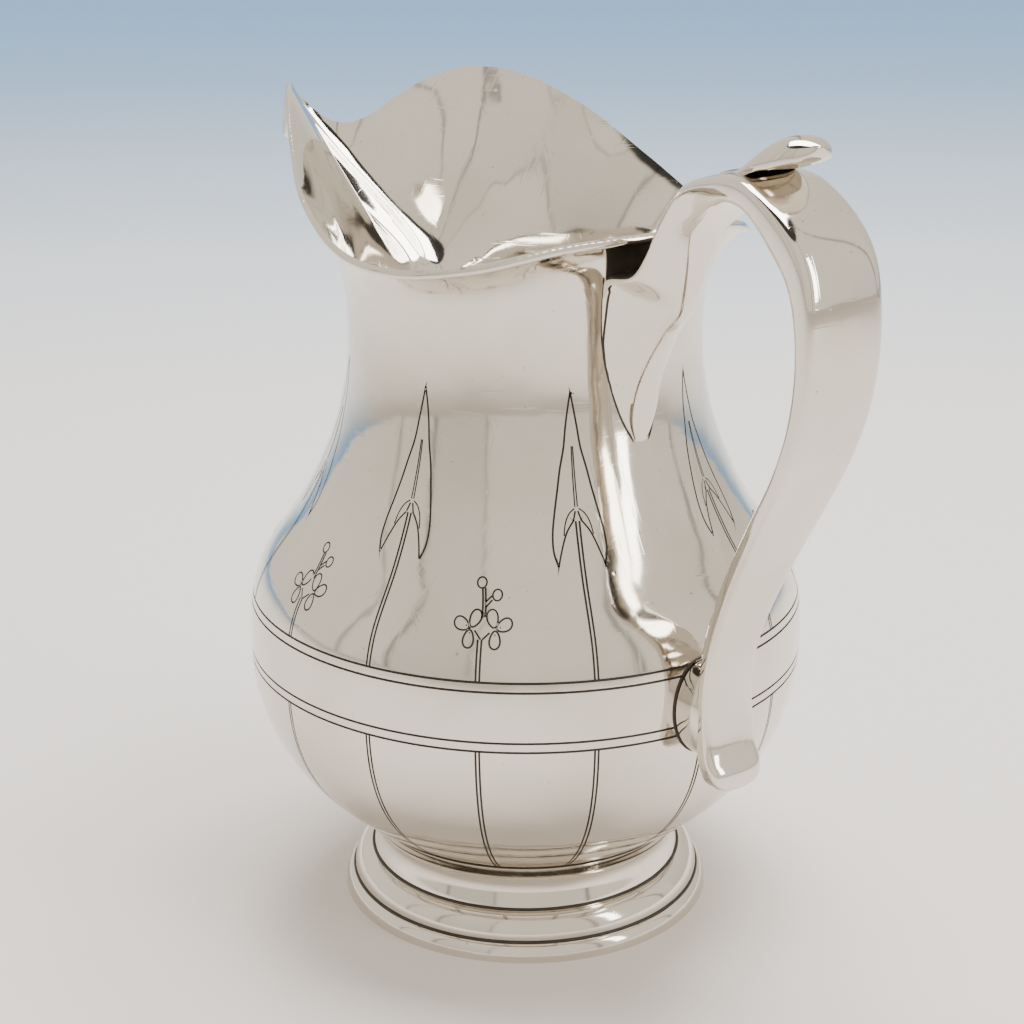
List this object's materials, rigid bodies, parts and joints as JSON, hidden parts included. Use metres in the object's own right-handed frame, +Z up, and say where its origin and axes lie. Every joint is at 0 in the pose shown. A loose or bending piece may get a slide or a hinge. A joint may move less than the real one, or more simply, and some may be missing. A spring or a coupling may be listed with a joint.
{
  "type": "water pitcher",
  "caption": "Round-bellied sheet-metal water pitcher on a stepped foot, with a pointed beak spout, a tall hollow strap handle and a thumb rest.",
  "frame": {"origin": "centre of the foot, on the surface that the pitcher stands on", "axes": "+Z up along the vessel's axis, +X from the axis towards the handle, -X towards the spout, +Y to the left when looking along +X"},
  "size_m": [0.2578, 0.16, 0.2383],
  "materials": {
    "vessel_silver": "polished sheet silver with fine wear scratches",
    "foot_silver": "polished spun silver",
    "handle_silver": "polished silver, softly worn by handling"
  },
  "bodies": {
    "root": {"vessel_body": "vessel_silver", "lip_wire": "vessel_silver", "foot_collar": "foot_silver", "foot_moulding": "foot_silver", "foot_base_wire": "foot_silver", "handle_outer_shell": "handle_silver", "handle_inner_shell": "handle_silver", "thumb_rest": "handle_silver", "handle_boss": "handle_silver"}
  },
  "joints": []
}
